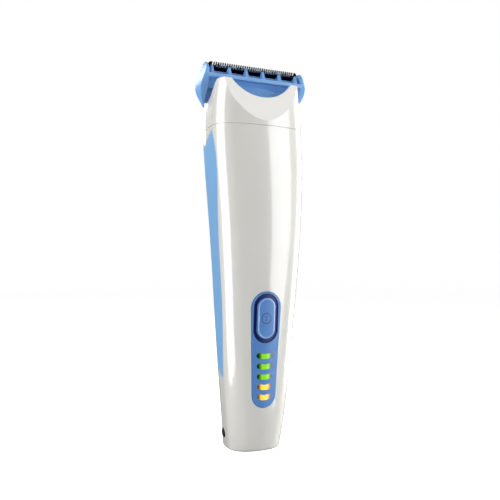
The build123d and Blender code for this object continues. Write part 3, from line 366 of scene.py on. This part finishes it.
class GroomerColours(bpy.types.PropertyGroup):
    shell: colour_setting("Shell", "Glossy ABS of the housing", "DFDED9")
    head: colour_setting("Head", "Polypropylene of the blade head", "7DB0EA")
    head_deep: colour_setting("Head shade", "Deeper tone of the head", "6BA0E0")
    grip: colour_setting("Grip", "Soft-touch side grip", "74A7D6")
    panel: colour_setting("Panel", "Control panel and button", "5488CB")
    ring: colour_setting("Ring", "Seal round the button", "0B1666")
    # The button rim's lighter blue is a painted highlight, for the light caught on the button's bevelled
    # edge.
    rim: colour_setting("Button rim", "Raised edge of the button", "8DB6E6")
    mark: colour_setting("Power mark", "Ring and bar on the button", "2C5796")
    comb: colour_setting("Comb", "Black oxide comb", "08090C")
    cutter_tip: colour_setting("Cutter tips", "Ground steel of the cutter teeth", "D9DADC")
    green: colour_setting("Green light", "Acrylic of the green charge lights", "86D81E")
    # The dark end colours of the charge lights are painted shade, for the shade in the recess at each end.
    green_recess_shade: colour_setting("Green light end", "Dark end of a green light", "0A3A1C")
    amber: colour_setting("Amber light", "Acrylic of the amber charge lights", "FFD24A")
    amber_recess_shade: colour_setting("Amber light end", "Dark end of an amber light", "7A2C0C")
    paper: colour_setting("Paper", "Studio background", "BEBEBE")


def length_setting(name, description, default_mm):
    """A length property whose default is given in millimetres."""
    return bpy.props.FloatProperty(name=name, description=description, default=default_mm * MM,
                                   subtype="DISTANCE", unit="LENGTH", precision=5)


class GroomerSizes(bpy.types.PropertyGroup):
    rim_inset: length_setting("Rim inset", "Button edge to the middle of its raised rim", 0.55)
    rim_width: length_setting("Rim width", "Width of the raised rim", 0.5)
    rim_height: length_setting("Rim height", "How far the rim stands up", 0.14)
    mark_radius: length_setting("Mark radius", "Radius of the power ring", 2.15)
    mark_width: length_setting("Mark width", "Line width of the power mark", 0.42)
    mark_height: length_setting("Mark height", "How far the power mark stands up", 0.08)
    contact_ring_width: length_setting("Contact ring width", "Trim ring round a charging stud", 0.5)


class GroomerCamera(bpy.types.PropertyGroup):
    turn: bpy.props.FloatProperty(name="Turn", description="Camera turned towards the left side",
                                  default=math.radians(-23.4), subtype="ANGLE", unit="ROTATION")
    rise: bpy.props.FloatProperty(name="Rise", description="Height angle of the view",
                                  default=math.radians(-2.41), subtype="ANGLE", unit="ROTATION")
    roll: bpy.props.FloatProperty(name="Roll", description="Turn about the line of sight",
                                  default=math.radians(0.2), subtype="ANGLE", unit="ROTATION")
    distance: bpy.props.FloatProperty(name="Distance", description="Camera to the middle of the groomer",
                                      default=278.1 * MM, subtype="DISTANCE", unit="LENGTH")
    side_step: bpy.props.FloatProperty(name="Side step", description="Camera moved to its right",
                                       default=0.37 * MM, subtype="DISTANCE", unit="LENGTH")
    up_step: bpy.props.FloatProperty(name="Up step", description="Camera moved up",
                                     default=2.48 * MM, subtype="DISTANCE", unit="LENGTH")
    lens: bpy.props.FloatProperty(name="Lens", description="Focal length on a 36 mm wide sensor, in mm",
                                  default=44.46)


def colours():
    """The scene's colour settings."""
    return bpy.context.scene.groomer_colours


# ---- Operators -----------------------------------------------------------------
class GROOMER_OT_shell(bpy.types.Operator):
    """Finish the glossy white housing, collar and base cap."""
    bl_idname = "groomer.shell"
    bl_label = "Shell"

    def execute(self, context):
        material = moulded_abs("polished_abs_white", colours().shell)
        for name in ("main_housing", "neck_collar", "bottom_cap"):
            set_material(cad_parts[name], material)
        return {"FINISHED"}


class GROOMER_OT_grip(bpy.types.Operator):
    """Finish the soft-touch grip."""
    bl_idname = "groomer.grip"
    bl_label = "Grip"

    def execute(self, context):
        set_material(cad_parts["rear_grip"], soft_touch_elastomer("soft_touch_tpe_blue", colours().grip))
        return {"FINISHED"}


class GROOMER_OT_controls(bpy.types.Operator):
    """Finish the control panel, the power button, its seal and the charge lights."""
    bl_idname = "groomer.controls"
    bl_label = "Controls"

    def execute(self, context):
        panel = moulded_abs("satin_abs_blue", colours().panel, roughness=0.34, texture_mm=0.3, coat=0.1)
        for name in ("control_panel", "power_button"):
            set_material(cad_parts[name], panel)
        navy = soft_touch_elastomer("moulded_rubber_navy", colours().ring, roughness=0.35)
        set_material(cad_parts["button_seal"], navy)
        # Each light's dark end colour is painted shade, for the recess round it.
        green = lit_lens("lit_acrylic_green", colours().green, colours().green_recess_shade, glow=0.35)
        amber = lit_lens("lit_acrylic_amber", colours().amber, colours().amber_recess_shade, glow=0.5)
        for number in range(1, 6):
            set_material(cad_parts[f"led_lens_{number}"], amber if number <= 2 else green)
        return {"FINISHED"}


class GROOMER_OT_head(bpy.types.Operator):
    """Make the moulded blade head and finish its comb and cutter."""
    bl_idname = "groomer.head"
    bl_label = "Blade head"

    def execute(self, context):
        carrier = softened("blade_carrier", "moulded_carrier", voxel_mm=0.17, rounds=5, keep=0.45)
        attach(carrier, "blade_head")
        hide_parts("blade_carrier")
        sky = satin_polypropylene("satin_polypropylene_sky", colours().head, colours().head_deep)
        set_material(carrier, sky)
        comb = black_oxide_steel("black_oxide_steel", colours().comb)
        for name in ("comb_blade", "comb_rivet_left", "comb_rivet_right"):
            set_material(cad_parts[name], comb)
        # The cutter's near-black body is painted shade, for the shade that falls on it under the comb.
        cutter = ground_tip_steel("ground_tip_steel", colours().comb, colours().cutter_tip)
        set_material(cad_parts["cutter_blade"], cutter)
        return {"FINISHED"}


class GROOMER_OT_inside(bpy.types.Operator):
    """Finish the charging studs and every inner piece."""
    bl_idname = "groomer.inside"
    bl_label = "Studs and inner pieces"

    def execute(self, context):
        black_rubber = soft_touch_elastomer("moulded_nitrile_black", "101114", 0.5)
        grey = moulded_abs("glass_filled_nylon_grey", "8A8D92", roughness=0.5, texture_mm=0.4,
                           texture_depth=0.01, coat=0)
        acetal = moulded_abs("acetal_white", "DEDCD4", roughness=0.38, texture_mm=0.5, coat=0)
        zinc = brushed_metal("zinc_plated_steel", "A9ACB0", 0.3, 0.2)
        spring = brushed_metal("drawn_spring_steel", "B8BABD", 0.25, 0.1)
        nickel = brushed_metal("polished_nickel_plate", "C9C6BF", 0.16, 0.6)
        brass = brushed_metal("stamped_brass", "C79B4A", 0.3, 0.2)
        finishes = {
            "bottom_cap_gasket": black_rubber, "collar_gasket": black_rubber, "drive_boot": black_rubber,
            "contact_seal_left": black_rubber, "contact_seal_right": black_rubber,
            "cap_screw_front": zinc, "cap_screw_rear": zinc,
            "motor_screw_left": zinc, "motor_screw_right": zinc,
            "lever_pivot_pin": zinc, "pivot_pin_left": zinc, "pivot_pin_right": zinc, "motor_shaft": zinc,
            "motor_can": zinc, "motor_armature": zinc, "motor_mount": zinc,
            "head_spring_left": spring, "head_spring_right": spring,
            "cutter_spring_left": spring, "cutter_spring_right": spring,
            "charging_contact_left": nickel, "charging_contact_right": nickel,
            "charge_strip_left": brass, "charge_strip_right": brass,
            "battery_tab_top": brass, "battery_tab_bottom": brass,
            "chassis_frame": grey, "tact_switch": grey, "motor_end_cap": grey, "head_frame": grey,
            "eccentric_cam": acetal, "drive_lever": acetal, "cutter_driver": acetal,
            "battery_cell": moulded_abs("shrink_film_green", "2F7A4A", roughness=0.25, texture_mm=2.0),
            "circuit_board": moulded_abs("solder_mask_green", "0E5A33", roughness=0.3, texture_mm=1.0),
        }
        for number in range(1, 6):
            finishes[f"led_chip_{number}"] = acetal
        for name, material in finishes.items():
            set_material(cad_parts[name], material)
        return {"FINISHED"}


class GROOMER_OT_power_mark(bpy.types.Operator):
    """Make the power button's raised edge, coloured a lighter blue as a painted highlight, and its
    ring-and-bar mark.
    """
    bl_idname = "groomer.power_mark"
    bl_label = "Power mark"

    def execute(self, context):
        sizes = bpy.context.scene.groomer_sizes
        low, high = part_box("power_button")
        centre = (low[2] + high[2]) / 2
        half_width = (high[0] - low[0]) / 2
        half_length = (high[2] - low[2]) / 2
        inset = sizes.rim_inset
        rim = bead("button_rim", "power_button", "front",
                   slot_path(half_width - inset, half_length - inset, centre),
                   sizes.rim_width, sizes.rim_height)
        # The rim's lighter blue is a painted highlight along the button's edge.
        set_material(rim, moulded_abs("satin_abs_painted_highlight_blue", colours().rim, roughness=0.3, texture_mm=0.3,
                                      texture_depth=0.003))
        ring = bead("power_ring", "power_button", "front", circle_path(sizes.mark_radius, centre),
                    sizes.mark_width, sizes.mark_height)
        bar_half = sizes.mark_radius * 0.5
        bar = bead("power_bar", "power_button", "front",
                   [(0.0, centre - bar_half + 2 * bar_half * k / 8) for k in range(9)],
                   sizes.mark_width, sizes.mark_height, closed=False)
        ink = moulded_abs("pad_printed_ink_blue", colours().mark, roughness=0.4, texture_mm=0.2,
                          texture_depth=0.003, coat=0.2)
        for piece in (rim, ring, bar):
            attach(piece, "power_button")
        for piece in (ring, bar):
            set_material(piece, ink)
        return {"FINISHED"}


class GROOMER_OT_contact_rings(bpy.types.Operator):
    """Make the dark trim ring round each charging stud."""
    bl_idname = "groomer.contact_rings"
    bl_label = "Contact rings"

    def execute(self, context):
        ring_width = bpy.context.scene.groomer_sizes.contact_ring_width
        dark = brushed_metal("black_nickel_plate", "3A3B3E", 0.2, 0.4)
        for side in ("left", "right"):
            low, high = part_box(f"charging_contact_{side}")
            radius = (high[2] - low[2]) / 2 + ring_width * 0.65
            piece = bead(f"contact_ring_{side}", "main_housing", side,
                         circle_path(radius, (low[2] + high[2]) / 2), ring_width, ring_width / 2)
            set_material(piece, dark)
            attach(piece, "handle")
        return {"FINISHED"}


def softbox(name, place, size, energy):
    """A soft, white rectangular studio light that points at the groomer."""
    light = bpy.data.lights.new(name, "AREA")
    light.shape = "RECTANGLE"
    light.size, light.size_y = size
    light.energy = energy
    lamp = bpy.data.objects.new(name, light)
    bpy.context.scene.collection.objects.link(lamp)
    lamp.location = place
    lamp.visible_camera = False
    lamp.rotation_euler = (Vector(MIDDLE) - Vector(place)).to_track_quat("-Z", "Y").to_euler()


def around(turn, rise, distance):
    """A place round the groomer: turn to the right of its front and rise, in degrees."""
    flat = distance * math.cos(math.radians(rise))
    return (flat * math.sin(math.radians(turn)), -flat * math.cos(math.radians(turn)),
            MIDDLE[2] + distance * math.sin(math.radians(rise)))


class GROOMER_OT_stage(bpy.types.Operator):
    """Make the paper floor, the softboxes and the camera."""
    bl_idname = "groomer.stage"
    bl_label = "Stage"

    def execute(self, context):
        self.make_floor()
        self.make_lights()
        self.make_camera()
        return {"FINISHED"}

    def make_floor(self):
        """Round paper floor whose rim curves up a little, far outside the view."""
        floor_radius, rim_radius, turns, steps = 2.4, 3.0, 96, 8
        bend = rim_radius - floor_radius
        rise = [math.pi / 3 * k / steps for k in range(steps + 1)]
        profile = [(0.3, 0.0)] + [(floor_radius + bend * math.sin(a), bend * (1 - math.cos(a))) for a in rise]
        build = bmesh.new()
        rings = [[build.verts.new((r * math.cos(t), r * math.sin(t), z))
                  for t in (2 * math.pi * k / turns for k in range(turns))] for r, z in profile]
        centre = build.verts.new((0, 0, 0))
        for k in range(turns):
            n = (k + 1) % turns
            build.faces.new((centre, rings[0][k], rings[0][n]))
            for inner, outer in zip(rings, rings[1:]):
                build.faces.new((inner[k], outer[k], outer[n], inner[n]))
        floor = finish_mesh("paper_floor", build)
        floor.location.z = CAD_BOX[0][2]
        floor.visible_glossy = False
        set_material(floor, studio_paper("seamless_paper_white", colours().paper))

    def make_lights(self):
        """Broad panels left and right, a narrow strip front right, a high panel and one panel behind."""
        softbox("left_panel", around(-80, 4, 0.75), (0.70, 0.8), 8.6)
        softbox("right_strip", around(38.5, 2.5, 0.75), (0.27, 0.8), 2.8)
        softbox("high_panel", around(23, 37, 0.75), (0.36, 0.28), 0.75)
        softbox("right_panel", around(92, 6, 0.75), (0.45, 0.7), 16.0)
        softbox("back_panel", around(170, 30, 0.9), (0.9, 0.5), 4.0)
        world = bpy.data.worlds.new("studio_fill")
        world.use_nodes = True
        tree = world.node_tree
        background = tree.nodes["Background"]
        background.inputs["Color"].default_value = linear("FFFFFF")
        path = add_node(tree, "ShaderNodeLightPath")
        strength = spread(tree, path.outputs["Is Camera Ray"], FILL_STRENGTH, BACKDROP_STRENGTH)
        tree.links.new(strength, background.inputs["Strength"])
        bpy.context.scene.world = world
        bpy.context.scene.view_settings.view_transform = "Standard"

    def make_camera(self):
        """A camera that looks at the groomer from its left and a little below."""
        view = bpy.context.scene.groomer_camera
        turn, rise, roll = view.turn, view.rise, view.roll
        back = Vector((math.sin(turn) * math.cos(rise), -math.cos(turn) * math.cos(rise), math.sin(rise)))
        right = Vector((math.cos(turn), math.sin(turn), 0))
        up = back.cross(right)
        rolled_right = right * math.cos(roll) - up * math.sin(roll)
        rolled_up = right * math.sin(roll) + up * math.cos(roll)
        middle = Vector((0, 0, CAD_BOX[0][2] + OBJECT_HEIGHT / 2))
        place = middle + rolled_right * view.side_step + rolled_up * view.up_step + back * view.distance
        camera_data = bpy.data.cameras.new("studio_camera")
        camera_data.lens = view.lens
        camera_data.sensor_width = 36.0
        camera_data.clip_start = 0.01
        camera = bpy.data.objects.new("studio_camera", camera_data)
        bpy.context.scene.collection.objects.link(camera)
        camera.matrix_world = Matrix((
            (rolled_right.x, rolled_up.x, back.x, place.x),
            (rolled_right.y, rolled_up.y, back.y, place.y),
            (rolled_right.z, rolled_up.z, back.z, place.z),
            (0, 0, 0, 1),
        ))
        bpy.context.scene.camera = camera


class GROOMER_PT_panel(bpy.types.Panel):
    """Lists the groomer's pieces and its stage."""
    bl_idname = "GROOMER_PT_panel"
    bl_label = "Body groomer"
    bl_space_type = "VIEW_3D"
    bl_region_type = "UI"
    bl_category = "Groomer"

    def draw(self, context):
        for operator in PIECE_OPERATORS:
            self.layout.operator(operator.bl_idname)


PIECE_OPERATORS = (
    GROOMER_OT_stage, GROOMER_OT_shell, GROOMER_OT_grip, GROOMER_OT_controls, GROOMER_OT_power_mark,
    GROOMER_OT_contact_rings, GROOMER_OT_head, GROOMER_OT_inside,
)
SETTINGS = (GroomerColours, GroomerSizes, GroomerCamera)


def register():
    for item in SETTINGS + PIECE_OPERATORS + (GROOMER_PT_panel,):
        bpy.utils.register_class(item)
    bpy.types.Scene.groomer_colours = bpy.props.PointerProperty(type=GroomerColours)
    bpy.types.Scene.groomer_sizes = bpy.props.PointerProperty(type=GroomerSizes)
    bpy.types.Scene.groomer_camera = bpy.props.PointerProperty(type=GroomerCamera)


def unregister():
    del bpy.types.Scene.groomer_camera
    del bpy.types.Scene.groomer_sizes
    del bpy.types.Scene.groomer_colours
    for item in reversed(SETTINGS + PIECE_OPERATORS + (GROOMER_PT_panel,)):
        bpy.utils.unregister_class(item)


def main():
    register()
    for operator in PIECE_OPERATORS:
        group, name = operator.bl_idname.split(".")
        getattr(getattr(bpy.ops, group), name)()


if __name__ == "__main__":
    main()
